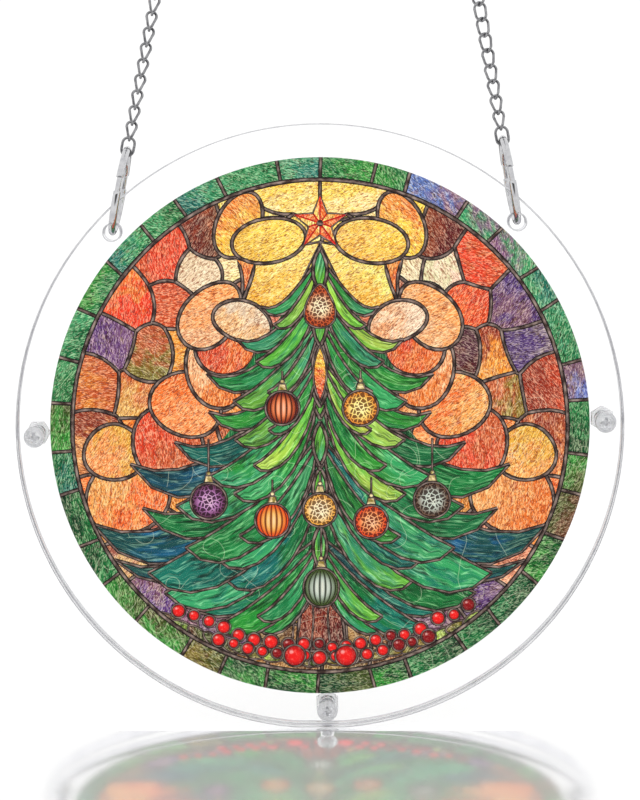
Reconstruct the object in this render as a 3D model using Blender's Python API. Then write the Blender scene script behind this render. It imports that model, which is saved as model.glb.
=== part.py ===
"""Round window suncatcher: two clear discs clamp a printed disc and hang on two rings and a chain.

Metres and degrees. X runs to the right, Y to the back and Z up. The origin is the point where
a hook carries the chain's top link.
"""

import math

import bmesh
import bpy
from mathutils import Vector

# Clearances
REST_GAP = 0.0003             # between pieces that touch or rest on each other
SHANK_CLEARANCE = 0.0003      # round a screw, in the panels and in its nut
LINK_CLEARANCE = 0.00025      # beside the ring's wire, in the eye of an end link

# Clear panels and the printed disc between them
PANEL_DIAMETER = 0.150
PANEL_THICKNESS = 0.003
PANEL_FLAT = 0.012            # chord of the small flat at the foot of the rim
PANEL_DROP = 0.318            # from the hook down to the panels' centre
PANEL_ROLL = 1.5              # how far the panels hang round, counter-clockwise from the front
PRINT_THICKNESS = 0.0006
PRINT_INSET = 0.00175         # from the screw holes in to the print's edge

# Holes in the panels, by their angle from +X
HOLE_INSET = 0.0047           # from the rim in to the hole centres
RING_HOLE = 0.004
RING_ANGLES = {"left": 135.0, "right": 45.0}
SCREW_ANGLES = {"left": 180.0, "right": 0.0, "bottom": 270.0}

# Screws and nuts
SHANK_DIAMETER = 0.003
HEAD_DIAMETER = 0.0052
HEAD_HEIGHT = 0.0021
RECESS_SPAN = 0.003
RECESS_SLOT = 0.0009
RECESS_DEPTH = 0.0012
NUT_FLATS = 0.0054            # across two opposite flats
NUT_THICKNESS = 0.0024
SHANK_END = 0.0008            # what stands out behind the nut
NUT_TURNS = {"left": 30.0, "right": 0.0, "bottom": 0.0}

# Rings
RING_DIAMETER = 0.0223
RING_WIRE = 0.0018
TONGUE_DIAMETER = 0.00125
TONGUE_LENGTH = 0.0032
JOINT_RISE = 0.0036           # how far a ring's two joints lie above its middle

# Chain
CHAIN_WIRE = 0.00068
LINK_LENGTH = 0.00516         # outside, along the chain
LINK_WIDTH = 0.0034           # outside, across it
LINK_WELD = 0.00005           # how deep two crossing links are joined
LEG_TURNS = {"left": 0.0, "right": 45.0}
TURN_LINKS = 9                # links that take up a leg's turn, at each of its ends
SPREAD_ANGLE = 60.0           # where the legs rest in the top link, from its lowest point

# Facets
RIM_STEPS = 72
HOLE_STEPS = 12
HEAD_STEPS = 12
RING_STEP_ANGLE = 18.0
RING_SIDES = 8
END_LINK_SIDES = 6
END_LINK_STEPS = 4            # along each round end of an end link
CURB_SIDES = 3
SMOOTH_ANGLE = 50.0

# Sizes that follow
PANEL_RADIUS = PANEL_DIAMETER / 2
PANEL_INNER_FACE = PRINT_THICKNESS / 2 + REST_GAP
PANEL_OUTER_FACE = PANEL_INNER_FACE + PANEL_THICKNESS
HOLE_CIRCLE_RADIUS = PANEL_RADIUS - HOLE_INSET
SCREW_HOLE = SHANK_DIAMETER + 2 * SHANK_CLEARANCE
PRINT_RADIUS = HOLE_CIRCLE_RADIUS - SCREW_HOLE / 2 - PRINT_INSET
NUT_FACE = PANEL_OUTER_FACE + REST_GAP
SHANK_TIP = NUT_FACE + NUT_THICKNESS + SHANK_END
RING_RADIUS = (RING_DIAMETER - RING_WIRE) / 2
RING_INSIDE = RING_RADIUS - RING_WIRE / 2
JOINT_ANGLE = 90.0 - math.degrees(math.asin(JOINT_RISE / RING_RADIUS))
# A three-sided wire as tall as the round one is thick has its corners this far from its middle.
CURB_CORNER = CHAIN_WIRE * 2 / 3
END_CORNER = CHAIN_WIRE / 2
END_LINK_WIDTH = RING_WIRE + 2 * LINK_CLEARANCE + CHAIN_WIRE
END_LINK_LENGTH = LINK_LENGTH - CHAIN_WIRE
LEG_OFFSET = (CHAIN_WIRE + REST_GAP) / 2
LEG_SEAT = LEG_OFFSET / math.sin(math.radians(SPREAD_ANGLE))
TOP_LINK_WIDTH = 2 * (LEG_SEAT + CHAIN_WIRE + REST_GAP)
TOP_LINK_CENTRE = (CHAIN_WIRE - END_LINK_LENGTH) / 2


def clear_scene():
    for item in list(bpy.data.objects):
        bpy.data.objects.remove(item)


def material(name, colour, roughness, metallic=0.0, transmission=0.0):
    """A Principled material of one colour."""
    made = bpy.data.materials.new(name)
    made.use_nodes = True
    shader = made.node_tree.nodes["Principled BSDF"]
    shader.inputs["Base Color"].default_value = (*colour, 1.0)
    shader.inputs["Roughness"].default_value = roughness
    shader.inputs["Metallic"].default_value = metallic
    shader.inputs["Transmission Weight"].default_value = transmission
    return made


def add_object(name, mesh_data, finish=None, parent=None, location=(0, 0, 0), turn=0.0):
    """Link a mesh as an object, turned about Y as seen from behind."""
    item = bpy.data.objects.new(name, mesh_data)
    bpy.context.collection.objects.link(item)
    item.parent = parent
    item.location = location
    item.rotation_euler = (0, math.radians(turn), 0)
    if finish:
        mesh_data.materials.clear()
        mesh_data.materials.append(finish)
    return item


def finished_mesh(name, bm):
    """Turn a bmesh into a smooth-shaded mesh with its faces outward."""
    bmesh.ops.recalc_face_normals(bm, faces=bm.faces)
    made = bpy.data.meshes.new(name)
    bm.to_mesh(made)
    bm.free()
    made.shade_smooth()
    made.set_sharp_from_angle(angle=math.radians(SMOOTH_ANGLE))
    return made


def hide_tool(item):
    item.hide_render = True
    item.display_type = "WIRE"


def boolean(item, tool, operation):
    step = item.modifiers.new(operation.lower(), "BOOLEAN")
    step.operation = operation
    step.solver = "EXACT"
    step.object = tool


def polar(radius, angle):
    """A point in the plane of the panels, by its angle from +X."""
    turn = math.radians(angle)
    return Vector((radius * math.cos(turn), 0, radius * math.sin(turn)))


def circle(radius, steps, start=0.0):
    return [polar(radius, start + 360 * step / steps) for step in range(steps)]


def add_prism(bm, outline, front, back):
    """Extrude an outline in the XZ plane from one Y to another."""
    near = [bm.verts.new((point.x, front, point.z)) for point in outline]
    far = [bm.verts.new((point.x, back, point.z)) for point in outline]
    bm.faces.new(near)
    bm.faces.new(reversed(far))
    for index in range(len(outline)):
        following = (index + 1) % len(outline)
        bm.faces.new((near[following], near[index], far[index], far[following]))


def add_turned(bm, profile, steps):
    """Turn a profile of (radius, y) points about the Y axis. Its ends lie on the axis."""
    ends = [bm.verts.new((0, profile[0][1], 0)), bm.verts.new((0, profile[-1][1], 0))]
    rings = []
    for radius, depth in profile[1:-1]:
        rings.append([bm.verts.new((spot.x, depth, spot.z)) for spot in circle(radius, steps)])
    for index in range(steps):
        following = (index + 1) % steps
        bm.faces.new((ends[0], rings[0][index], rings[0][following]))
        bm.faces.new((ends[1], rings[-1][following], rings[-1][index]))
        for near, far in zip(rings, rings[1:]):
            bm.faces.new((near[index], far[index], far[following], near[following]))


def add_wire(bm, path, sides, closed):
    """Skin a path of (point, inward, normal, radius) with a wire whose first corner points inward."""
    rings = []
    for point, inward, normal, radius in path:
        ring = []
        for corner in range(sides):
            angle = 2 * math.pi * corner / sides
            offset = inward * math.cos(angle) + normal * math.sin(angle)
            ring.append(bm.verts.new(point + offset * radius))
        rings.append(ring)
    pairs = list(zip(rings, rings[1:]))
    if closed:
        pairs.append((rings[-1], rings[0]))
    else:
        bm.faces.new(rings[0])
        bm.faces.new(reversed(rings[-1]))
    for near, far in pairs:
        for corner in range(sides):
            beside = (corner + 1) % sides
            bm.faces.new((near[beside], near[corner], far[corner], far[beside]))


def panel_outline():
    """The rim, from one end of its flat round to the other. The flat is level as the panel hangs."""
    half_flat = math.degrees(math.asin(PANEL_FLAT / 2 / PANEL_RADIUS))
    start = 270.0 - PANEL_ROLL + half_flat
    sweep = 360.0 - 2 * half_flat
    return [polar(PANEL_RADIUS, start + sweep * step / RIM_STEPS) for step in range(RIM_STEPS + 1)]


def make_hole_tool(parent):
    """One cutter for the two ring holes and the three screw holes."""
    bm = bmesh.new()
    holes = [(angle, RING_HOLE) for angle in RING_ANGLES.values()]
    holes += [(angle, SCREW_HOLE) for angle in SCREW_ANGLES.values()]
    reach = PANEL_OUTER_FACE + PANEL_THICKNESS
    for angle, diameter in holes:
        centre = polar(HOLE_CIRCLE_RADIUS, angle)
        outline = [centre + spot for spot in circle(diameter / 2, HOLE_STEPS, angle)]
        add_prism(bm, outline, -reach, reach)
    tool = add_object("hole_tool", finished_mesh("hole_tool", bm), parent=parent)
    hide_tool(tool)
    return tool


def make_panels(parent, hole_tool, finish):
    faces = {
        "front_panel": (-PANEL_OUTER_FACE, -PANEL_INNER_FACE),
        "back_panel": (PANEL_INNER_FACE, PANEL_OUTER_FACE),
    }
    for name, (front, back) in faces.items():
        bm = bmesh.new()
        add_prism(bm, panel_outline(), front, back)
        panel = add_object(name, finished_mesh(name, bm), finish, parent)
        boolean(panel, hole_tool, "DIFFERENCE")


def make_print(parent, finish):
    bm = bmesh.new()
    add_prism(bm, circle(PRINT_RADIUS, RIM_STEPS), -PRINT_THICKNESS / 2, PRINT_THICKNESS / 2)
    add_object("printed_disc", finished_mesh("printed_disc", bm), finish, parent)


def screw_profile():
    """A round head in front, then the shank, as (radius, y) from the crown to the tip."""
    seat = -PANEL_OUTER_FACE - REST_GAP
    crown = seat - HEAD_HEIGHT
    head = HEAD_DIAMETER / 2
    brim = HEAD_HEIGHT * 0.35
    dome = HEAD_HEIGHT - brim
    profile = [(0, crown)]
    for angle in (30, 60, 90):
        turn = math.radians(angle)
        profile.append((head * math.sin(turn), crown + dome * (1 - math.cos(turn))))
    profile += [(head, seat), (SHANK_DIAMETER / 2, seat), (SHANK_DIAMETER / 2, SHANK_TIP)]
    profile.append((0, SHANK_TIP))
    return profile


def cross_outline():
    """The plus-shaped recess in a screw's head."""
    long, short = RECESS_SPAN / 2, RECESS_SLOT / 2
    arm = [(long, -short), (long, short), (short, short)]
    outline = []
    for quarter in range(4):
        turn = math.radians(90 * quarter)
        for x, z in arm:
            spot = (x * math.cos(turn) - z * math.sin(turn), 0, x * math.sin(turn) + z * math.cos(turn))
            outline.append(Vector(spot))
    return outline


def make_screws(parent, finish):
    crown = -PANEL_OUTER_FACE - REST_GAP - HEAD_HEIGHT
    for side, angle in SCREW_ANGLES.items():
        place = polar(HOLE_CIRCLE_RADIUS, angle)
        bm = bmesh.new()
        add_prism(bm, cross_outline(), crown - HEAD_HEIGHT, crown + RECESS_DEPTH)
        tool = add_object(f"recess_tool_{side}", finished_mesh("recess", bm), None, parent, place)
        hide_tool(tool)
        bm = bmesh.new()
        add_turned(bm, screw_profile(), HEAD_STEPS)
        screw = add_object(f"screw_{side}", finished_mesh("screw", bm), finish, parent, place)
        boolean(screw, tool, "DIFFERENCE")


def make_nuts(parent, finish):
    for side, angle in SCREW_ANGLES.items():
        place = polar(HOLE_CIRCLE_RADIUS, angle)
        back = NUT_FACE + NUT_THICKNESS
        bm = bmesh.new()
        add_prism(bm, circle(SCREW_HOLE / 2, HOLE_STEPS), 0, back + NUT_THICKNESS)
        tool = add_object(f"bore_tool_{side}", finished_mesh("bore", bm), None, parent, place)
        hide_tool(tool)
        corner = NUT_FLATS / 2 / math.cos(math.radians(30))
        bm = bmesh.new()
        add_prism(bm, circle(corner, 6, 30.0 + NUT_TURNS[side]), NUT_FACE, back)
        nut = add_object(f"nut_{side}", finished_mesh("nut", bm), finish, parent, place)
        boolean(nut, tool, "DIFFERENCE")


def ring_path(angles, radius):
    """A stretch of a ring's wire, by the angles of its points from the ring's top."""
    path = []
    for angle in angles:
        turn = math.radians(angle)
        away = Vector((0, math.sin(turn), math.cos(turn)))
        path.append((away * RING_RADIUS, -away, Vector((1, 0, 0)), radius))
    return path


def spaced(start, end, step):
    """Angles from start to end, both kept, no further apart than step."""
    count = math.ceil((end - start) / step)
    return [start + (end - start) * index / count for index in range(count + 1)]


def make_ring(side, parent, height, finish):
    """Two halves: the upper ends square, and the lower ends in two tongues."""
    wire, tongue = RING_WIRE / 2, TONGUE_DIAMETER / 2
    tip = JOINT_ANGLE + math.degrees(REST_GAP / RING_RADIUS)
    root = tip + math.degrees(TONGUE_LENGTH / RING_RADIUS)
    upper = ring_path(spaced(-JOINT_ANGLE, JOINT_ANGLE, RING_STEP_ANGLE), wire)
    lower = ring_path(spaced(tip, root, RING_STEP_ANGLE), tongue)
    lower += ring_path(spaced(root, 360.0 - root, RING_STEP_ANGLE), wire)
    lower += ring_path(spaced(360.0 - root, 360.0 - tip, RING_STEP_ANGLE), tongue)
    for half, path in (("upper", upper), ("lower", lower)):
        bm = bmesh.new()
        add_wire(bm, path, RING_SIDES, closed=False)
        name = f"ring_{side}_{half}"
        add_object(name, finished_mesh(name, bm), finish, parent, (0, 0, height))


def add_end_link(bm, centre, across, width, length):
    """A plain link with round ends, whose width lies across the leg in the given direction."""
    up = Vector((0, 0, 1))
    normal = across.cross(up)
    radius = width / 2
    straight = length / 2 - radius
    path = []
    for end in (1, -1):
        for step in range(END_LINK_STEPS + 1):
            turn = math.pi * step / END_LINK_STEPS
            away = (across * math.cos(turn) + up * math.sin(turn)) * end
            path.append((centre + up * straight * end + away * radius, -away, normal, END_CORNER))
    add_wire(bm, path, END_LINK_SIDES, closed=True)


def add_curb_link(bm, height, turn, length):
    """A link twisted a quarter turn from crown to crown, with three-sided wire."""
    half_length = length / 2
    half_width = (LINK_WIDTH - CHAIN_WIRE) / 2
    path = []
    for share, end in ((-0.5, 1), (0.5, 1), (1, 0), (0.5, -1), (-0.5, -1), (-1, 0)):
        angle = math.radians(turn - 45.0 + 45.0 * end)
        lateral = Vector((math.cos(angle), math.sin(angle), 0))
        normal = Vector((-lateral.y, lateral.x, 0))
        point = lateral * half_width * share + Vector((0, 0, height + half_length * end))
        inward = Vector((0, 0, -end)) if end else lateral * -share
        path.append((point, inward, normal, CURB_CORNER))
    add_wire(bm, path, CURB_SIDES, closed=True)


def leg_turn(side, index, count):
    """A leg's links turn together, but for the few next to its end links."""
    from_end = min(index, count - 1 - index)
    return LEG_TURNS[side] * min(1.0, from_end / TURN_LINKS)


def make_leg(side, parent, foot, top, finish):
    """One string of links from the ring, at foot, up to the top link, along the parent's Z."""
    curb_overlap = 2 * CURB_CORNER - LINK_WELD
    end_overlap = CURB_CORNER + END_CORNER - LINK_WELD
    curb_span = top - foot - 2 * END_LINK_LENGTH + 2 * end_overlap
    nominal = LINK_LENGTH - CURB_CORNER
    count = round((curb_span - curb_overlap) / (nominal - curb_overlap))
    length = (curb_span + (count - 1) * curb_overlap) / count
    strings = [bmesh.new(), bmesh.new()]
    foot_centre = Vector((0, 0, foot + END_LINK_LENGTH / 2))
    top_centre = Vector((0, 0, top - END_LINK_LENGTH / 2))
    add_end_link(strings[1], foot_centre, Vector((1, 0, 0)), END_LINK_WIDTH, END_LINK_LENGTH)
    add_end_link(strings[count % 2], top_centre, Vector((0, 1, 0)), END_LINK_WIDTH, END_LINK_LENGTH)
    lowest = foot + END_LINK_LENGTH - end_overlap + length / 2
    for index in range(count):
        height = lowest + index * (length - curb_overlap)
        add_curb_link(strings[index % 2], height, leg_turn(side, index, count), length)
    name = f"chain_{side}"
    leg = add_object(name, finished_mesh(name, strings[0]), finish, parent)
    tool = add_object(f"{name}_tool", finished_mesh(f"{name}_tool", strings[1]), None, parent)
    hide_tool(tool)
    boolean(leg, tool, "UNION")


def make_legs(ring_finish, chain_finish):
    """Each leg is a straight line from a ring hole to the top link, with all its pieces on it."""
    seat = math.sqrt(RING_INSIDE ** 2 - PANEL_OUTER_FACE ** 2)
    ring_height = RING_HOLE / 2 - REST_GAP + seat
    foot = ring_height + RING_INSIDE - REST_GAP - CHAIN_WIRE / 2
    arc_centre = TOP_LINK_CENTRE - END_LINK_LENGTH / 2 + TOP_LINK_WIDTH / 2
    rest = LEG_SEAT * math.cos(math.radians(SPREAD_ANGLE))
    for side, angle in RING_ANGLES.items():
        hole = polar(HOLE_CIRCLE_RADIUS, angle + PANEL_ROLL) - Vector((0, 0, PANEL_DROP))
        offset = -LEG_OFFSET if hole.x < 0 else LEG_OFFSET
        reach = Vector((offset, 0, arc_centre - rest)) - hole
        lean = math.degrees(math.atan2(reach.x, reach.z))
        leg = add_object(f"leg_{side}", None, location=hole, turn=lean)
        make_ring(side, leg, ring_height, ring_finish)
        make_leg(side, leg, foot, reach.length, chain_finish)


def make_top_link(finish):
    bm = bmesh.new()
    centre = Vector((0, 0, TOP_LINK_CENTRE))
    add_end_link(bm, centre, Vector((1, 0, 0)), TOP_LINK_WIDTH, END_LINK_LENGTH)
    add_object("chain_top_link", finished_mesh("chain_top_link", bm), finish)


def build():
    clear_scene()
    acrylic = material("clear_acrylic", (0.96, 0.97, 0.98), 0.04, transmission=1.0)
    picture = material("printed_film", (0.62, 0.36, 0.12), 0.35)
    plastic = material("clear_plastic", (0.86, 0.87, 0.88), 0.15, transmission=0.8)
    chrome = material("polished_steel", (0.72, 0.72, 0.73), 0.12, metallic=1.0)
    steel = material("chain_steel", (0.55, 0.55, 0.56), 0.22, metallic=1.0)
    centre = (0, 0, -PANEL_DROP)
    panels = add_object("panel_centre", None, location=centre, turn=-PANEL_ROLL)
    make_panels(panels, make_hole_tool(panels), acrylic)
    make_print(panels, picture)
    make_screws(panels, plastic)
    make_nuts(panels, plastic)
    make_legs(chrome, steel)
    make_top_link(steel)


build()
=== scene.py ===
"""Looks of the round window suncatcher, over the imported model.

Metres, +Z up, the front of the object faces -Y. The picture is drawn with complex numbers: the
real part runs to the right and the imaginary part up, in millimetres from the disc's centre.
"""

import math
import random
from collections import namedtuple

import bmesh
import bpy
import numpy as np
from mathutils import Matrix, Vector
from mathutils.geometry import delaunay_2d_cdt, tessellate_polygon


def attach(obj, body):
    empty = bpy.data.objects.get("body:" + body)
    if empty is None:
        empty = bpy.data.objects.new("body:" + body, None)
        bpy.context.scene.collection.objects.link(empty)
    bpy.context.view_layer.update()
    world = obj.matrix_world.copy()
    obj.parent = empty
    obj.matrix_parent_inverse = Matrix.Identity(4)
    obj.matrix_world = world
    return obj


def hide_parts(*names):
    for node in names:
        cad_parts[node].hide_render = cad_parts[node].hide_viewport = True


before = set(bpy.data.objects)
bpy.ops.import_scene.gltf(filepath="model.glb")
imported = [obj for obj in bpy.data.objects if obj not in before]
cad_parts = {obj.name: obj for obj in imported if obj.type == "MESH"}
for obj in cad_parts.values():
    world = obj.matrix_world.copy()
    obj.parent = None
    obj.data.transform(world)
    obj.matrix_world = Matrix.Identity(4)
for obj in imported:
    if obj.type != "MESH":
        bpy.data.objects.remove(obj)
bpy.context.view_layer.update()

MM = 0.001

# Sizes shared with the solids
REST_GAP = 0.0003
SHANK_CLEARANCE = 0.0003
LINK_CLEARANCE = 0.00025
PANEL_DIAMETER = 0.150
PANEL_THICKNESS = 0.003
PANEL_FLAT = 0.012
PANEL_DROP = 0.318
PANEL_ROLL = 1.5
PRINT_THICKNESS = 0.0006
PRINT_INSET = 0.00175
HOLE_INSET = 0.0047
RING_HOLE = 0.004
RING_ANGLES = {"left": 135.0, "right": 45.0}
SCREW_ANGLES = {"left": 180.0, "right": 0.0, "bottom": 270.0}
SHANK_DIAMETER = 0.003
HEAD_DIAMETER = 0.0052
HEAD_HEIGHT = 0.0021
RECESS_SPAN = 0.003
RECESS_SLOT = 0.0009
RECESS_DEPTH = 0.0012
NUT_FLATS = 0.0054
NUT_THICKNESS = 0.0024
SHANK_END = 0.0008
NUT_TURNS = {"left": 30.0, "right": 0.0, "bottom": 0.0}
RING_DIAMETER = 0.0223
RING_WIRE = 0.0018
TONGUE_DIAMETER = 0.00125
TONGUE_LENGTH = 0.0032
JOINT_RISE = 0.0036
CHAIN_WIRE = 0.00068
LINK_LENGTH = 0.00516
LINK_WIDTH = 0.0034
LINK_WELD = 0.00005
LEG_TURNS = {"left": 0.0, "right": 45.0}
TURN_LINKS = 9
SPREAD_ANGLE = 60.0

PANEL_RADIUS = PANEL_DIAMETER / 2
PANEL_INNER_FACE = PRINT_THICKNESS / 2 + REST_GAP
PANEL_OUTER_FACE = PANEL_INNER_FACE + PANEL_THICKNESS
HOLE_CIRCLE_RADIUS = PANEL_RADIUS - HOLE_INSET
SCREW_HOLE = SHANK_DIAMETER + 2 * SHANK_CLEARANCE
PRINT_RADIUS = HOLE_CIRCLE_RADIUS - SCREW_HOLE / 2 - PRINT_INSET
NUT_FACE = PANEL_OUTER_FACE + REST_GAP
SHANK_TIP = NUT_FACE + NUT_THICKNESS + SHANK_END
RING_RADIUS = (RING_DIAMETER - RING_WIRE) / 2
RING_INSIDE = RING_RADIUS - RING_WIRE / 2
JOINT_ANGLE = 90.0 - math.degrees(math.asin(JOINT_RISE / RING_RADIUS))
CURB_CORNER = CHAIN_WIRE * 2 / 3
END_CORNER = CHAIN_WIRE / 2
END_LINK_WIDTH = RING_WIRE + 2 * LINK_CLEARANCE + CHAIN_WIRE
END_LINK_LENGTH = LINK_LENGTH - CHAIN_WIRE
LEG_OFFSET = (CHAIN_WIRE + REST_GAP) / 2
LEG_SEAT = LEG_OFFSET / math.sin(math.radians(SPREAD_ANGLE))
TOP_LINK_WIDTH = 2 * (LEG_SEAT + CHAIN_WIRE + REST_GAP)
TOP_LINK_CENTRE = (CHAIN_WIRE - END_LINK_LENGTH) / 2

DISC_CENTRE = Vector((0, 0, -PANEL_DROP))

# The photograph's view of the disc
VIEW_DISTANCE = 0.700
VIEW_ELEVATION = 6.5
IMAGE_HEIGHT = 800
FOCAL_PIXELS = 2828
CENTRE_ROW = 427.7            # the image row of the disc's centre
SENSOR_WIDTH = 36.0           # for the image's long side

# Stage
FLOOR_GAP = 0.0006            # below the lowest point of the rim
FLOOR_WIDTH = 1.6
FLOOR_BACK = 0.2
FLOOR_FRONT = 0.12
FLOOR_SLOPE = 29.0
FLOOR_ROUGHNESS = 0.1
FLOOR_MIRROR = 0.68           # the share of it that mirrors
WORLD_STRENGTH = 1.06
SHADE_STRENGTH = 0.12         # what gloss sees below the horizon in front and behind


def clamp(value, low=0.0, high=1.0):
    return max(low, min(high, value))


def tone(red, green, blue):
    """A colour from its 0-255 display values."""
    return tuple(
        (part / 12.92 if part <= 0.04045 else ((part + 0.055) / 1.055) ** 2.4)
        for part in (red / 255, green / 255, blue / 255)
    )


def varied(colour, rng, amount):
    return tuple(clamp(part * rng.uniform(1 - amount, 1 + amount)) for part in colour)


# Node helpers


def new_material(name):
    made = bpy.data.materials.new(name)
    made.use_nodes = True
    return made, made.node_tree, made.node_tree.nodes["Principled BSDF"]


def node(tree, kind, inputs=None, **settings):
    """A shader node with its settings, and its inputs by name or number."""
    made = tree.nodes.new("ShaderNode" + kind)
    for key, value in settings.items():
        setattr(made, key, value)
    for key, value in (inputs or {}).items():
        if isinstance(value, bpy.types.NodeSocket):
            tree.links.new(value, made.inputs[key])
        else:
            made.inputs[key].default_value = value
    return made


def maths(tree, operation, *values):
    return node(tree, "Math", dict(enumerate(values)), operation=operation).outputs[0]


def vectors(tree, operation, *values):
    made = node(tree, "VectorMath", dict(enumerate(values)), operation=operation)
    return made.outputs["Value" if operation == "DISTANCE" else "Vector"]


def blend(tree, factor, first, second, kind="MIX"):
    """Mix two colours."""
    colours = [value if isinstance(value, bpy.types.NodeSocket) else (*value, 1.0)
               for value in (first, second)]
    made = node(tree, "Mix", {0: factor, 6: colours[0], 7: colours[1]}, data_type="RGBA",
                blend_type=kind, clamp_factor=True)
    return made.outputs[2]


def ramp(tree, value, low, high):
    """0 below low, 1 above high and smooth between."""
    made = node(tree, "MapRange", {0: value, 1: low, 2: high}, interpolation_type="SMOOTHSTEP")
    return made.outputs[0]


def noise(tree, place, scale, detail=2.0, roughness=0.5, distortion=0.0):
    made = node(tree, "TexNoise", {"Vector": place, "Scale": scale, "Detail": detail,
                                   "Roughness": roughness, "Distortion": distortion})
    return made.outputs["Fac"]


def stretched(tree, place, scales, shift=0.0):
    """The place vector with each part scaled, so that a noise read there runs in streaks."""
    return vectors(tree, "ADD", vectors(tree, "MULTIPLY", place, scales), (shift, shift, shift))


def object_place(tree):
    return node(tree, "TexCoord").outputs["Object"]


# Picture: a decorated fir in the manner of leaded glass

RING_LINE = 61.3              # radius of the lead between the border and the field
PICTURE_EDGE = PRINT_RADIUS / MM
OVERHANG = 1.02               # how far the border reaches past the edge before it is cut
LEAD = 0.52                   # half the width of a lead
THIN_LEAD = 0.3
UNEVEN = 0.06                 # how much a lead's width wavers
OWN_SHADE = 0.15              # how far a field pane's or a leaf's colour strays
PICTURE_SEED = 20

COLOURS = {name: tone(*shade) for name, shade in {
    "cream": (250, 232, 190), "lemon": (254, 236, 140), "yellow": (252, 214, 84),
    "gold": (240, 180, 66), "amber": (230, 148, 50), "orange": (240, 130, 50),
    "apricot": (246, 172, 100), "peach": (240, 186, 138), "vermilion": (230, 82, 34),
    "copper": (208, 106, 52), "rust": (160, 62, 30), "maroon": (112, 26, 32),
    "blush": (240, 212, 186), "rose": (186, 104, 88), "plum": (110, 62, 84),
    "violet": (98, 62, 140), "orchid": (196, 132, 196), "silver": (196, 206, 196),
    "lilac": (142, 110, 140), "olive": (150, 132, 48), "tan": (186, 148, 86),
    "umber": (120, 78, 48), "leafy": (190, 214, 96), "lime": (118, 188, 74),
    "grass": (60, 160, 66), "emerald": (16, 136, 76), "forest": (10, 92, 52),
    "jade": (74, 168, 116), "teal": (20, 132, 120), "deep_teal": (8, 90, 94),
    "blue": (26, 108, 150), "navy": (32, 42, 104), "moss": (84, 104, 40),
    "periwinkle": (110, 132, 190), "red": (240, 38, 30), "crimson": (158, 8, 22),
}.items()}

Look = namedtuple("Look", "material first second")


def plain_look(material, first, second):
    return Look(material, COLOURS[first], COLOURS[second])


def varied_look(rng, material, names, amount=0.08):
    """A look in its own shade of two colours."""
    return Look(material, *(varied(COLOURS[name], rng, amount) for name in names))


def bow(start, end, bulge, steps=6):
    """Points of a curve from start to end that swells to its left by a share of its length."""
    shares = [step / steps for step in range(steps + 1)]
    return [start + (end - start) * (t + 4j * bulge * t * (1 - t)) for t in shares]


def lens(start, end, bulge):
    """A closed shape with a point at each end."""
    return bow(start, end, bulge) + bow(end, start, bulge)


def oval(centre, across, along, tilt=0.0, taper=0.0, steps=28):
    """A closed egg shape. Taper narrows its far end."""
    turned = on_circle(1, tilt)
    outline = []
    for step in range(steps):
        angle = 2 * math.pi * step / steps
        up = math.sin(angle)
        outline.append(centre + turned * complex(across * math.cos(angle) * (1 - taper * up), along * up))
    return outline


def mirrored(points):
    return [-point.conjugate() for point in points]


def on_circle(radius, angle):
    turn = math.radians(angle)
    return complex(radius * math.cos(turn), radius * math.sin(turn))


def arc(radius, start, end, steps):
    return [on_circle(radius, start + (end - start) * step / steps) for step in range(steps + 1)]


def circle_line(radius, steps):
    return [on_circle(radius, 360 * step / steps) for step in range(steps)]


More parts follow.
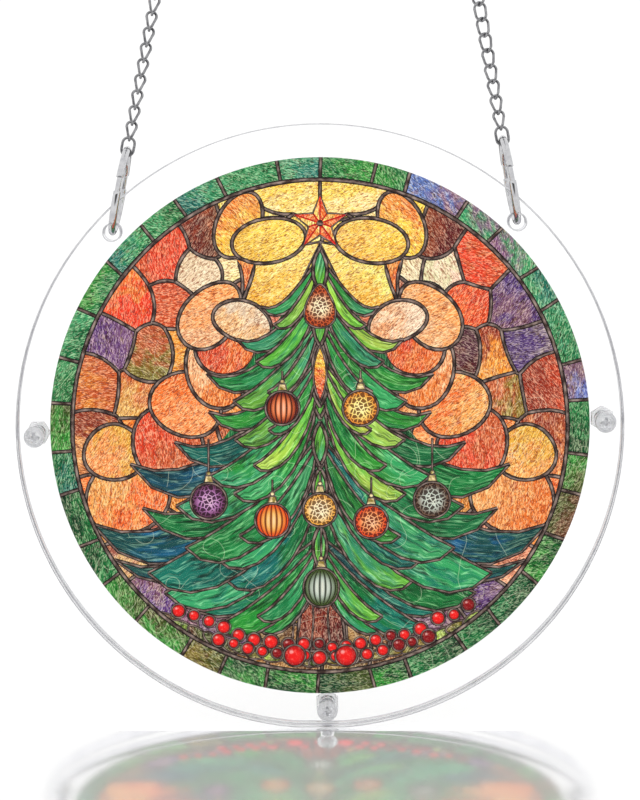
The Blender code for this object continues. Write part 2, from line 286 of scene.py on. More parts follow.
class Painting:
    """Shapes laid one over another, and then cut into a single layer of faces."""

    def __init__(self):
        self.rng = random.Random(PICTURE_SEED)
        self.points = []
        self.faces = []
        self.maps = []
        self.looks = []
        self.glazes = set()

    def add_face(self, corners, mapping, look):
        """Keep a face with its corners counter-clockwise, as the cutting needs them."""
        spots = [self.points[corner] for corner in corners]
        area = sum((one.conjugate() * other).imag for one, other in zip(spots, spots[1:] + spots[:1]))
        self.faces.append(corners if area > 0 else corners[::-1])
        self.maps.append(mapping)
        self.looks.append(look)

    def add_points(self, points):
        first = len(self.points)
        self.points += points
        return list(range(first, len(self.points)))

    def pane(self, outline, look, grain=None, fade=None, local=None):
        """Fill an outline. Its streaks run along the grain and its colours change along the fade.

        Local is a round pane's centre and radius. The flow is then the place in the circle.
        """
        grain = self.rng.uniform(0, 180) if grain is None else grain
        fade = self.rng.uniform(0, 360) if fade is None else fade
        if local:
            centre, size = local
            rows = [(1 / size, 0, -centre.real / size), (0, 1 / size, -centre.imag / size)]
        else:
            run, cross = on_circle(1, grain), on_circle(1, grain + 90)
            rows = [(run.real, run.imag, self.rng.uniform(0, 500)),
                    (cross.real, cross.imag, self.rng.uniform(0, 500))]
        way = on_circle(1, fade)
        reach = [point.real * way.real + point.imag * way.imag for point in outline]
        low, span = min(reach), max(reach) - min(reach)
        rows.append((way.real / span, way.imag / span, -low / span))
        self.add_face(self.add_points(outline), rows, look)

    def strip(self, near, far, look, spans, shift):
        """Fill the strip between two lines of as many points. Its streaks follow it.

        The spans are the flow's cross values on the near and on the far line.
        """
        numbers = [self.add_points(near), self.add_points(far)]
        run = 0.0
        places = []
        for index, (one, other) in enumerate(zip(near, far)):
            if index:
                middle = (one + other) / 2 - (near[index - 1] + far[index - 1]) / 2
                run += abs(middle)
            share = index / (len(near) - 1)
            places.append([(run + shift, spans[0], share), (run + shift, spans[1], share)])
        for index in range(len(near) - 1):
            quad = [(0, index), (1, index), (1, index + 1), (0, index + 1)]
            for corners in ((quad[0], quad[1], quad[2]), (quad[0], quad[2], quad[3])):
                spots = [(near, far)[side][place] for side, place in corners]
                base = np.array([(spot.real, spot.imag, 1.0) for spot in spots])
                if abs(np.linalg.det(base)) < 1e-6:
                    continue
                values = np.array([places[place][side] for side, place in corners])
                mapping = np.linalg.solve(base, values).T
                self.add_face([numbers[side][place] for side, place in corners], mapping, look)

    def lead(self, line, half=LEAD, closed=False, look=None):
        """A line of solder, a little uneven in its width."""
        look = look or plain_look("lead", "umber", "umber")
        points = list(line)
        if closed:
            points.append(points[0])
        sides = ([], [])
        last = len(points) - 1
        phase = self.rng.uniform(0, 6)
        for index, point in enumerate(points):
            before = points[index - 1] if index else points[-2 if closed else 0]
            after = points[index + 1] if index < last else points[1 if closed else -1]
            way = after - before
            normal = 1j * way / abs(way)
            joint = closed and index in (0, last)
            uneven = 1 if joint else 1 + UNEVEN * math.sin(phase + index)
            for side, sign in zip(sides, (1, -1)):
                side.append(point + normal * half * uneven * sign)
        self.strip(*sides, look, (-1.0, 1.0), self.rng.uniform(0, 500))

    def leaded(self, outline, look, half=LEAD, **settings):
        self.pane(outline, look, **settings)
        self.lead(outline, half, closed=True)

    def both(self, outline, names, **settings):
        """A leaded pane and its mirror image, each in its own shade of the colours."""
        for side in (outline, mirrored(outline)):
            self.leaded(side, varied_look(self.rng, "glass", names), **settings)


# Background panes

SPOTS = [
    (12 + 52j, "lemon", "yellow"),
    (30 + 47j, "maroon", "rust"),
    (37 + 41j, "vermilion", "copper"),
    (27 + 39j, "blush", "cream"),
    (44 + 36j, "blush", "rose"),
    (25 + 31j, "rose", "vermilion"),
    (33 + 25j, "plum", "maroon"),
    (41 + 27j, "vermilion", "orange"),
    (50 + 26j, "lilac", "violet"),
    (55 + 15j, "rust", "vermilion"),
    (45 + 12j, "olive", "copper"),
    (38 + 14j, "gold", "rust"),
    (52 + 5j, "amber", "copper"),
    (42 + 2j, "copper", "apricot"),
    (47 - 6j, "amber", "orange"),
    (56 - 4j, "apricot", "rust"),
    (52 - 14j, "apricot", "orange"),
    (54 - 32j, "peach", "rose"),
    (46 - 42j, "violet", "lilac"),
    (34 - 49j, "lilac", "plum"),
    (15 - 52j, "tan", "umber"),
]


CELL_RINGS = ((56, 14), (47, 12), (38, 10), (29, 7), (20, 5))  # radius, and panes in a half ring
CELL_BULGE = 0.16
FIELD_REACH = 1.08            # how far the panes reach past the ring line before they are covered


def cell_seeds(rng):
    """Mirrored points on uneven rings, which the background panes grow from."""
    seeds = []
    for radius, count in CELL_RINGS:
        for index in range(count):
            angle = 90 + 180 * (index + 0.5) / count + rng.uniform(-4, 4)
            spot = on_circle(radius + rng.uniform(-2.2, 2.2), angle)
            seeds += [spot, -spot.conjugate() + complex(rng.uniform(-0.8, 0.8), rng.uniform(-0.8, 0.8))]
    return seeds


def cell_edges(seeds, number):
    """A pane's corners, each with the neighbour across the edge that follows it."""
    seed = seeds[number]
    corners = [(corner, None) for corner in circle_line(RING_LINE * FIELD_REACH, 24)]
    for other, spot in enumerate(seeds):
        if other == number:
            continue
        middle, way = (seed + spot) / 2, spot - seed
        kept = []
        for (corner, across), (following, _) in zip(corners, corners[1:] + corners[:1]):
            here = ((corner - middle) * way.conjugate()).real
            there = ((following - middle) * way.conjugate()).real
            if here <= 0:
                kept.append((corner, across))
            if (here <= 0) != (there <= 0):
                cut = corner + (following - corner) * here / (here - there)
                kept.append((cut, other if here <= 0 else across))
        corners = kept
    return corners


def paint_cells(painting):
    rng = painting.rng
    seeds = cell_seeds(rng)
    bulges = {}
    lines = []
    for number, seed in enumerate(seeds):
        outline = []
        corners = cell_edges(seeds, number)
        for (corner, across), (following, _) in zip(corners, corners[1:] + corners[:1]):
            if across is None:
                outline.append(corner)
                continue
            pair = (min(number, across), max(number, across))
            bulge = bulges.setdefault(pair, rng.uniform(-CELL_BULGE, CELL_BULGE))
            line = bow(corner, following, bulge if number == pair[0] else -bulge)
            outline += line[:-1]
            if number == pair[0]:
                lines.append(line)
        place = complex(abs(seed.real), seed.imag) + complex(rng.uniform(-2, 2), rng.uniform(-2, 2))
        names = min(SPOTS, key=lambda entry: abs(entry[0] - place))[1:]
        painting.pane(outline, varied_look(rng, "glass", names, OWN_SHADE))
    for line in lines:
        painting.lead(line)


# Sky round the star

STAR_CENTRE = 50.6j
STAR_TIP = 7.0
STAR_WAIST = 3.0
GLOW_REACH = 0.032            # how far the light behind the star spreads


def paint_sky(painting):
    arm = STAR_CENTRE + on_circle(STAR_TIP, 162)
    top = complex(0, RING_LINE)
    shoulder = on_circle(RING_LINE, 107)
    sky = [top] + bow(top, shoulder, -0.04) + bow(shoulder, arm, -0.16) + [STAR_CENTRE]
    painting.both(sky, ("cream", "yellow"), grain=20, fade=100)
    small = bow(shoulder, arm, -0.16) + bow(arm, -15 + 50j, 0.1) + bow(-15 + 50j, shoulder, 0.12)
    painting.both(small, ("lemon", "cream"), grain=70)
    petal = oval(-20 + 50.2j, 5.4, 8.6, -24, 0.05)
    painting.both(petal, ("yellow", "orange"), fade=110, grain=140)
    golden = bow(-17 + 43j, -19 + 31j, 0.05) + bow(-19 + 31j, -6 + 33j, -0.2) + [0 + 46j]
    painting.both(golden, ("gold", "lemon"), fade=60, grain=30)
    red = bow(-20.5 + 42j, -20 + 30j, 0.1) + bow(-20 + 30j, -16 + 41j, -0.05)
    painting.both(red, ("vermilion", "orange"), grain=80)
    painting.both(oval(-12.6 + 46.3j, 9.2, 5.5, 9), ("gold", "yellow"), grain=25, fade=30)


# Orange lobes that lie against the tree, lowest first

LOBES = [
    (-48 - 17j, 10.5, 9.5, 20, "apricot", "orange"),
    (-51 - 6j, 7.5, 7.0, 0, "apricot", "gold"),
    (-38 - 4j, 8.5, 9.5, 30, "vermilion", "copper"),
    (-33 + 6j, 9.0, 8.0, -25, "apricot", "orange"),
    (-26 + 14j, 7.0, 9.5, 25, "peach", "orange"),
    (-23.5 + 21j, 7.5, 8.0, 10, "orange", "vermilion"),
    (-27 + 28j, 6.5, 9.5, -40, "peach", "apricot"),
    (-19 + 26.5j, 7.5, 5.0, -20, "blush", "peach"),
]


def paint_lobes(painting):
    for centre, across, along, tilt, first, second in LOBES:
        painting.both(oval(centre, across, along, tilt, 0.12), (first, second), grain=tilt + 60)


# Tree

# The boughs' tips on the left side, from the top down
BOUGH_TIPS = [-14.5 + 30j, -20.5 + 22j, -28 + 13.5j, -27.5 + 4j, -36 - 3.5j, -47 - 9j, -44 - 20j, -56.5 - 24j,
              -51 - 33j, -34 - 43.5j, -20 - 46j, -8.5 - 43.5j]
NAVY_TIP = -20 - 46j
INNER_LEAVES = (0.72, 0.46)   # where a bough's inner leaves end along its lower edge
TREE_LEAD = 0.42
LEAF_SHADES = [
    ("leafy", "lime"),
    ("lime", "leafy"),
    ("jade", "lime"),
    ("grass", "jade"),
    ("emerald", "grass"),
    ("jade", "emerald"),
    ("emerald", "teal"),
    ("teal", "jade"),
    ("forest", "emerald"),
    ("deep_teal", "teal"),
    ("blue", "deep_teal"),
]


def curve(start, first, second, end, steps=8):
    """Points of a cubic curve."""
    points = []
    for step in range(steps + 1):
        t = step / steps
        points.append((1 - t) ** 3 * start + 3 * t * (1 - t) ** 2 * first + 3 * t * t * (1 - t) * second
                      + t ** 3 * end)
    return points


def leaf(painting, root, tip, sag, lift, names, side):
    """A crescent leaf on the left, or mirrored to the right. Both its edges hang below its ends."""
    wide = abs(tip.real - root.real)
    drop = root.imag - tip.imag
    low = curve(root, root - complex(0.10 * wide, 0.75 * drop + 0.10 * wide),
                tip + complex(0.26 * wide, -sag * wide), tip)
    high = curve(root, root - complex(0.30 * wide, 0.45 * drop),
                 tip + complex(0.34 * wide, -lift * wide), tip)
    edges = [mirrored(low), mirrored(high)] if side > 0 else [low, high]
    look = varied_look(painting.rng, "leaf", names, OWN_SHADE)
    painting.strip(*edges, look, (0.0, 2.0 + 0.12 * wide), painting.rng.uniform(0, 500))
    for line in edges:
        painting.lead(line, TREE_LEAD)
    return low


def shade_names(rng, place):
    """Yellow-green by the axis and near the top, then emerald, teal and blue outward and down."""
    share = abs(place.real) / 62 + (36 - place.imag) / 320 + rng.uniform(-0.24, 0.2)
    return LEAF_SHADES[int(clamp(share) * (len(LEAF_SHADES) - 0.01))]


def paint_tree(painting):
    rng = painting.rng
    body = [42j] + [complex(tip.real * 0.66, tip.imag + 1) for tip in BOUGH_TIPS[2:]]
    body += mirrored(body[:0:-1])
    painting.pane(body, plain_look("leaf", "forest", "emerald"), grain=90)
    for tip in reversed(BOUGH_TIPS):
        wide = -tip.real
        root = complex(-0.5, tip.imag + 8 + 0.24 * wide)
        for side in (-1, 1):
            names = ("navy", "blue") if tip == NAVY_TIP else shade_names(rng, tip)
            low = leaf(painting, root, tip, 0.44 if tip.imag > -30 else 0.30, 0.16, names, side)
            for number, share in enumerate(INNER_LEAVES[:1 + (wide > 26)]):
                end = low[round(share * (len(low) - 1))] - complex(0.4, 2.2)
                start = root - 1.2j * (number + 1)
                leaf(painting, start, end, 0.34, -0.16, shade_names(rng, (start + 2 * end) / 3), side)
        spine = lens(root.imag * 1j + 3j, root.imag * 1j - 8j, 0.16)
        painting.leaded(spine, plain_look("leaf", "lime", "jade"), grain=80)


# Ground, trunk and garland

TRUNK = [-6.5 - 40j, -5 - 47j, -6 - 56j, 6.5 - 56j, 5.5 - 47j, 7 - 40j]


def paint_ground(painting):
    painting.both([-6 - 42j, -18 - 46j, -19 - 52j, -7 - 55j], ("tan", "umber"), grain=20)
    painting.both([-18 - 44j, -31 - 44j, -30 - 53j, -17 - 55j], ("plum", "lilac"), grain=10)
    painting.leaded(TRUNK, plain_look("glass", "rust", "maroon"), grain=90)
    for offset in (-2, 2.4):
        line = [complex(offset, -40), complex(offset * 0.8, -48), complex(offset * 1.1, -56)]
        painting.lead(line, THIN_LEAD)


# The berries' rows: half width, height in the middle and how fast they rise outward
BERRY_ROWS = ((37, -54.8, 0.0076), (27, -57.4, 0.0066))
LARGE_BERRIES = (-6.3 - 57.2j, 6.5 - 57.2j)
SPRIGS = 21


def paint_berry(painting, spot, size):
    names = painting.rng.choice(3 * [("red", "crimson")] + [("crimson", "maroon")])
    outline = oval(spot, size, size, steps=18)
    painting.pane(outline, plain_look("berry", *names), local=(spot, size), fade=90)
    painting.lead(outline, 0.3, closed=True)


def paint_garland(painting):
    rng = painting.rng
    for index in range(SPRIGS):
        share = 2 * index / (SPRIGS - 1) - 1
        spot = complex(38 * share, -57.0 + 10.5 * share * share)
        slope = math.degrees(math.atan2(21 * share, 38))
        under = oval(spot - 1.4j, 3.0, 1.3, slope + rng.uniform(-25, 25))
        names = rng.choice((("olive", "moss"), ("moss", "leafy"), ("moss", "umber")))
        painting.leaded(under, varied_look(rng, "glass", names), THIN_LEAD)
    for reach, height, rise in BERRY_ROWS:
        place = -reach
        while place < reach:
            size = rng.uniform(1.3, 1.95)
            across = place + size
            spot = complex(across, height + rise * across ** 2 + rng.uniform(-0.6, 0.6))
            paint_berry(painting, spot, size)
            place += 2 * size + rng.uniform(0.3, 0.9)
    for spot in LARGE_BERRIES:
        paint_berry(painting, spot, 2.75)


# Ornaments: place, radius, height against width, material, colours and length of the hanger

BALLS = [
    (-9.3 + 4.9j, 4.2, 1.0, "fluted", "orange", "maroon", 3),
    (10.0 + 4.9j, 4.4, 1.0, "filigree", "lemon", "amber", 3),
    (-27.6 - 18.3j, 4.5, 1.0, "filigree", "orchid", "plum", 9),
    (-11.8 - 23.2j, 4.3, 1.0, "fluted", "gold", "vermilion", 4),
    (0.0 - 20.5j, 4.2, 1.0, "filigree", "cream", "gold", 3),
    (12.7 - 23.5j, 4.2, 1.0, "filigree", "apricot", "vermilion", 5),
    (27.8 - 18.0j, 4.5, 1.0, "filigree", "silver", "umber", 9),
    (0.3 - 40.0j, 4.4, 1.12, "fluted", "silver", "moss", 8),
]


def paint_ball(painting, spot, size, height, material, first, second, hanger):
    top = spot + 1j * size * height
    painting.lead([top + 2j, top + (2 + hanger) * 1j], 0.32)
    gold = plain_look("enamel", "cream", "olive")
    painting.leaded(oval(top + 2.4j, 0.55, 0.55, steps=10), gold, 0.16)
    cap = [top - 1.25 - 0.35j, top - 0.75 + 1.8j, top + 0.75 + 1.8j, top + 1.25 - 0.35j]
    painting.leaded(cap, gold, THIN_LEAD * 0.7)
    outline = oval(spot, size, size * height, steps=36)
    painting.pane(outline, plain_look(material, first, second), local=(spot, size), fade=90)
    painting.lead(outline, 0.36, closed=True)


def paint_ornaments(painting):
    drop = oval(30.2j, 3.6, 5.4, 0, 0.45)
    painting.leaded(drop, plain_look("filigree", "cream", "copper"), THIN_LEAD, local=(30j, 4))
    slim = lens(20.5j, 6.5j, 0.12)
    painting.leaded(slim, plain_look("glass", "yellow", "vermilion"), THIN_LEAD, fade=270)
    for ball in BALLS:
        paint_ball(painting, *ball)


def paint_star(painting):
    painting.lead([STAR_CENTRE, complex(0, RING_LINE)])
    tips = [STAR_CENTRE + on_circle(STAR_TIP, 90 + 72 * index) for index in range(5)]
    waists = [STAR_CENTRE + on_circle(STAR_WAIST, 126 + 72 * index) for index in range(5)]
    for index, tip in enumerate(tips):
        for waist, *names in ((waists[index], "lemon", "orange"), (waists[index - 1], "orange", "vermilion")):
            painting.pane([STAR_CENTRE, tip, waist], plain_look("tile", *names), fade=90 + 72 * index)
    for pair in zip(tips, waists):
        for end in pair:
            painting.lead([STAR_CENTRE, end], 0.2, look=plain_look("enamel", "crimson", "red"))
    outline = [point for pair in zip(tips, waists) for point in pair]
    painting.lead(outline, THIN_LEAD, closed=True)
    knob = oval(STAR_CENTRE, 0.8, 0.8, steps=16)
    painting.pane(knob, plain_look("lead", "umber", "umber"), local=(STAR_CENTRE, 0.8))


# Border

TILES = 34
HIGH_TILES = [("emerald", "jade"), ("jade", "emerald"), ("grass", "emerald"), ("jade", "teal"),
              ("lilac", "jade"), ("periwinkle", "lilac")]
MIDDLE_TILES = [("grass", "moss"), ("emerald", "forest"), ("teal", "emerald"), ("olive", "grass"),
                ("moss", "umber")]
LOW_TILES = [("grass", "forest"), ("moss", "grass"), ("emerald", "forest"), ("forest", "moss"),
             ("olive", "moss")]


def paint_border(painting):
    rng = painting.rng
    outside = PICTURE_EDGE * OVERHANG
    angles = [90 + 360 * (index + rng.uniform(-0.16, 0.16) * (index > 0)) / TILES for index in range(TILES)]
    angles.append(angles[0] + 360)
    for start, end in zip(angles, angles[1:]):
        height = math.sin(math.radians((start + end) / 2))
        names = rng.choice(HIGH_TILES if height > 0.1 else MIDDLE_TILES if height > -0.4 else LOW_TILES)
        outline = arc(outside, start, end, 5) + arc(RING_LINE, end, start, 5)
        look = varied_look(rng, "tile", names, 0.12)
        painting.pane(outline, look, grain=(start + end) / 2 + 60 + rng.uniform(-25, 25))
    for angle in angles[:-1]:
        painting.lead([on_circle(RING_LINE, angle), on_circle(outside, angle + rng.uniform(-0.6, 0.6))])
    painting.lead(circle_line(RING_LINE, 120), LEAD * 1.15, closed=True)


GLINTS = 70


def paint_glints(painting):
    """Thin pale curls that lie over the panes of the lower half."""
    rng = painting.rng
    first = len(painting.faces)
    for _ in range(GLINTS):
        spot = complex(rng.uniform(-56, 56), rng.uniform(-58, 14))
        heading, turn = rng.uniform(0, 360), rng.uniform(-20, 20)
        line = [spot]
        for _ in range(rng.randint(14, 40)):
            turn = clamp(turn + rng.uniform(-11, 11), -26, 26)
            heading += turn
            line.append(line[-1] + on_circle(0.8, heading))
        painting.lead(line, 0.07)
    painting.glazes = set(range(first, len(painting.faces)))


def paint_picture():
    painting = Painting()
    painting.pane(circle_line(PICTURE_EDGE, 180), plain_look("glass", "forest", "forest"))
    paint_cells(painting)
    paint_sky(painting)
    paint_lobes(painting)
    paint_ground(painting)
    paint_tree(painting)
    paint_garland(painting)
    paint_ornaments(painting)
    paint_star(painting)
    paint_border(painting)
    paint_glints(painting)
    return painting


class Cover:
    """Finds the topmost shape over each of many points."""

    CELL = 1.0

    def __init__(self, points):
        self.points = points
        self.low = points.min(axis=0)
        cells = np.floor((points - self.low) / self.CELL).astype(int)
        self.wide = int(cells[:, 0].max()) + 1
        codes = cells[:, 1] * self.wide + cells[:, 0]
        self.order = np.argsort(codes, kind="stable")
        self.codes = codes[self.order]

    def inside(self, outline):
        """The numbers of the points inside an outline."""
        first = np.maximum(np.floor((outline.min(axis=0) - self.low) / self.CELL).astype(int), 0)
        last = np.floor((outline.max(axis=0) - self.low) / self.CELL).astype(int)
        rows = np.arange(first[1], last[1] + 1) * self.wide
        starts = np.searchsorted(self.codes, rows + first[0])
        stops = np.searchsorted(self.codes, rows + min(last[0], self.wide - 1), side="right")
        near = [self.order[start:stop] for start, stop in zip(starts, stops) if stop > start]
        if not near:
            return np.empty(0, int)
        near = np.concatenate(near)
        x, y = self.points[near].T
        within = np.zeros(len(near), bool)
        for (ax, ay), (bx, by) in zip(outline, np.roll(outline, -1, axis=0)):
            if ay != by:
                within ^= ((ay > y) != (by > y)) & (x < (bx - ax) * (y - ay) / (by - ay) + ax)
        return near[within]


def topmost(painting, points, corners):
    """The topmost shape over each triangle's middle, -1 off the disc, and whether a glint lies there."""
    cover = Cover(points[corners].mean(axis=1))
    spots = np.array([(point.real, point.imag) for point in painting.points])
    tops = np.full(len(corners), -1)
    glints = np.zeros(len(corners))
    for number, face in enumerate(painting.faces):
        found = cover.inside(spots[face])
        if number in painting.glazes:
            glints[found] = 1.0
        elif number == 0:
            tops[found] = 0
        else:
            tops[found] = np.where(tops[found] >= 0, number, -1)
    return tops, glints


def cut(spots, edges):
    """Triangles between the edges, out to the hull of the spots."""
    spots = [Vector((round(x, 3), round(y, 3))) for x, y in spots]
    points, _, corners, *_ = delaunay_2d_cdt(spots, edges, [], 0, 1e-4, False)
    return np.array([tuple(point) for point in points]), np.array(corners)


def flatten(painting):
    """Cut the shapes at each other's edges, then once more at the edges that are left showing."""
    edges = {tuple(sorted(pair)) for face in painting.faces for pair in zip(face, face[1:] + face[:1])}
    points, corners = cut([(point.real, point.imag) for point in painting.points], sorted(edges))
    tops, glints = topmost(painting, points, corners)
    sides = {}
    kinds = list(zip(tops.tolist(), glints.tolist()))
    for corner, following in ((0, 1), (1, 2), (2, 0)):
        ends = np.sort(corners[:, (corner, following)], axis=1).tolist()
        for pair, kind in zip(ends, kinds):
            sides.setdefault(tuple(pair), set()).add(kind)
    shown = [pair for pair, found in sides.items() if len(found) > 1]
    used = sorted({end for pair in shown for end in pair})
    place = {end: index for index, end in enumerate(used)}
    edges = [(place[one], place[other]) for one, other in shown]
    points, corners = cut(points[used].tolist(), edges)
    tops, glints = topmost(painting, points, corners)
    kept = tops >= 0
    return points, corners[kept], tops[kept], glints[kept]


def rim_of(corners):
    """The outline of a patch of triangles, as one loop of point numbers."""
    pairs = {(face[index - 1], face[index]) for face in corners.tolist() for index in range(3)}
    following = {one: other for one, other in pairs if (other, one) not in pairs}
    loop = [min(following)]
    while following[loop[-1]] != loop[0]:
        loop.append(following[loop[-1]])
    return loop


def sheet_mesh(name, painting, cutting, depth, materials):
    """Half of the film's thickness: the picture outside, plain inside and round the rim."""
    points, corners, tops, glints = cutting
    one, two, three = (points[corners[:, index]] for index in range(3))
    leftward = (np.cross(two - one, three - one) > 0) == (depth < 0)
    corners = np.where(leftward[:, None], corners, corners[:, ::-1])
    rim = rim_of(corners)
    count = len(points)
    places = np.zeros((count + len(rim), 3))
    places[:, (0, 2)] = np.concatenate([points, points[rim]]) * MM
    places[:, 2] += DISC_CENTRE.z
    places[:count, 1] = depth
    walls = []
    for index, corner in enumerate(rim):
        following = (index + 1) % len(rim)
        walls.append((corner, count + index, count + following, rim[following]))
    inside = [tuple(range(count + len(rim) - 1, count - 1, -1))]
    mesh = bpy.data.meshes.new(name)
    mesh.from_pydata(places.tolist(), [], corners.tolist() + walls + inside)
    names = sorted({look.material for look in painting.looks})
    for kind in names + ["film_edge"]:
        mesh.materials.append(materials[kind])
    kinds = [names.index(painting.looks[top].material) for top in tops] + [len(names)] * (len(walls) + 1)
    mesh.polygons.foreach_set("material_index", np.array(kinds, np.int32))
    plain = np.zeros((5 * len(rim), 3))
    maps = np.array([np.array(mapping) for mapping in painting.maps])[tops]
    spots = np.concatenate([points[corners], np.ones((len(corners), 3, 1))], axis=2)
    flow = np.einsum("fij,fcj->fci", maps, spots).reshape(-1, 3)
    fill_vector(mesh, "flow", np.concatenate([flow, plain]))
    for tint, index in (("first_tint", 1), ("second_tint", 2)):
        colours = np.array([look[index] for look in painting.looks])[tops]
        fill_vector(mesh, tint, np.concatenate([np.repeat(colours, 3, axis=0), plain]))
    glint = mesh.attributes.new("glint", "FLOAT", "CORNER")
    glint.data.foreach_set("value", np.concatenate([np.repeat(glints, 3), plain[:, 0]]).astype(np.float32))
    mesh.update()
    return mesh


def build_picture(materials):
    painting = paint_picture()
    cutting = flatten(painting)
    half = PRINT_THICKNESS / 2
    front = sheet_mesh("picture_front", painting, cutting, -half, materials)
    link_piece(front, "printed_disc")
    link_piece(sheet_mesh("picture_back", painting, cutting, half, materials))


def fill_vector(mesh, name, values):
    layer = mesh.attributes.new(name, "FLOAT_VECTOR", "CORNER")
    layer.data.foreach_set("vector", values.astype(np.float32).ravel())


# Mesh helpers for the hardware


def link_piece(mesh, replaced=None):
    """Put a mesh in the scene as a piece of the object, over the solid that it replaces."""
    piece = bpy.data.objects.new(mesh.name, mesh)
    bpy.context.collection.objects.link(piece)
    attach(piece, "root")
    if replaced:
        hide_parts(replaced)
    return piece


def mesh_from(bm, name, transform, materials, smooth_angle=None):
    bmesh.ops.recalc_face_normals(bm, faces=bm.faces)
    bm.transform(transform)
    mesh = bpy.data.meshes.new(name)
    for face in bm.faces:
        face.smooth = True
    bm.to_mesh(mesh)
    bm.free()
    for material in materials:
        mesh.materials.append(material)
    if smooth_angle:
        mesh.set_sharp_from_angle(angle=math.radians(smooth_angle))
    return mesh


def polar(radius, angle):
    turn = math.radians(angle)
    return Vector((radius * math.cos(turn), 0, radius * math.sin(turn)))


def circle(radius, count):
    return [polar(radius, 360 * step / count) for step in range(count)]


def ring_at(bm, depth, spots):
    return [bm.verts.new((spot.x, depth, spot.z)) for spot in spots]


def skin(bm, rings):
    """Join each ring of points to the next one."""
    faces = []
    for near, far in zip(rings, rings[1:]):
        for index in range(len(near)):
            beside = (index + 1) % len(near)
            corners = dict.fromkeys((near[beside], near[index], far[index], far[beside]))
            faces.append(bm.faces.new(list(corners)))
    return faces


def panel_frame():
    return Matrix.Translation(DISC_CENTRE) @ Matrix.Rotation(math.radians(-PANEL_ROLL), 4, "Y")


def sweep(bm, path, closed=False, sides=12):
    """Skin a path of (point, side, normal, radius) with round wire."""
    rings = []
    for point, side, normal, radius in path:
        ring = []
        for corner in range(sides):
            angle = 2 * math.pi * corner / sides
            ring.append(bm.verts.new(point + (side * math.cos(angle) + normal * math.sin(angle)) * radius))
        rings.append(ring)
    if closed:
        rings.append(rings[0])
    else:
        bm.faces.new(rings[0])
        bm.faces.new(reversed(rings[-1]))
    skin(bm, rings)


# Clear panels

RIM_STEPS = 216
HOLE_STEPS = 40
EDGE_RADIUS = 0.0003
EDGE_STEPS = 4


def rim_loop():
    """The rim's points with their outward directions, with the small flat at its foot."""
    half_flat = math.degrees(math.asin(PANEL_FLAT / 2 / PANEL_RADIUS))
    start = 270.0 - PANEL_ROLL + half_flat
    swept = 360.0 - 2 * half_flat
    angles = [start + swept * step / RIM_STEPS for step in range(RIM_STEPS + 1)]
    return [(polar(PANEL_RADIUS, angle), polar(1, angle)) for angle in angles]


def hole_loop(angle, diameter):
    centre = polar(HOLE_CIRCLE_RADIUS, angle)
    ways = [polar(1, -360 * step / HOLE_STEPS) for step in range(HOLE_STEPS)]
    return [(centre + way * diameter / 2, -way) for way in ways]


def plate_mesh(name, front, back, materials):
    """A clear plate with softly rounded edges at its rim and its holes."""
    loops = [rim_loop()]
    loops += [hole_loop(angle, RING_HOLE) for angle in RING_ANGLES.values()]
    loops += [hole_loop(angle, SCREW_HOLE) for angle in SCREW_ANGLES.values()]
    profile = []
    for step in range(EDGE_STEPS + 1):
        turn = math.pi / 2 * step / EDGE_STEPS
        profile.append((EDGE_RADIUS * (1 - math.sin(turn)), front + EDGE_RADIUS * (1 - math.cos(turn))))
    profile += [(inset, front + back - depth) for inset, depth in reversed(profile)]
    bm = bmesh.new()
    ends = ([], [])
    for loop in loops:
        rows = []
        for inset, depth in profile:
            rows.append([bm.verts.new((spot.x - way.x * inset, depth, spot.z - way.z * inset))
                         for spot, way in loop])
        for number in range(len(rows) - 1):
            for face in skin(bm, rows[number:number + 2]):
                # the rounded edges and the wall take grey tints of painted shade
                face.material_index = 2 if number == EDGE_STEPS else 1
        ends[0].append(rows[0])
        ends[1].append(rows[-1])
    for rows in ends:
        flat = [vert for row in rows for vert in row]
        outlines = [[Vector((vert.co.x, vert.co.z, 0)) for vert in row] for row in rows]
        for triangle in tessellate_polygon(outlines):
            bm.faces.new([flat[index] for index in triangle])
    bmesh.ops.recalc_face_normals(bm, faces=bm.faces)
    for edge in bm.edges:
        edge.smooth = len({face.material_index for face in edge.link_faces}) == 1
    return mesh_from(bm, name, panel_frame(), materials)


def build_panels(materials):
    used = [materials[kind] for kind in ("acrylic", "shaded_acrylic_edge", "shaded_acrylic_wall")]
    for name, front, back in (("front_panel", -PANEL_OUTER_FACE, -PANEL_INNER_FACE),
                              ("back_panel", PANEL_INNER_FACE, PANEL_OUTER_FACE)):
        link_piece(plate_mesh("clear_" + name, front, back, used), name)


# Rings

RING_EASE = 0.00012           # rounding of a half's ends
ARC_STEP = 4.0                # degrees between the points of a ring's wire
RING_SIDES = 28


def ring_points(angles, radius):
    path = []
    for angle in angles:
        turn = math.radians(angle)
        away = Vector((0, math.sin(turn), math.cos(turn)))
        path.append((away * RING_RADIUS, -away, Vector((1, 0, 0)), radius))
    return path


def spaced(start, end):
    count = math.ceil((end - start) / ARC_STEP)
    return [start + (end - start) * index / count for index in range(count + 1)]


def eased_ends(start, end):
    """A stretch of ring wire whose two ends are rounded off."""
    radius = RING_WIRE / 2
    turn = math.degrees(RING_EASE / RING_RADIUS)
    near, far = radius - RING_EASE, radius - RING_EASE * 0.3
    path = ring_points([start], near) + ring_points([start + turn * 0.35], far)
    path += ring_points(spaced(start + turn, end - turn), radius)
    return path + ring_points([end - turn * 0.35], far) + ring_points([end], near)


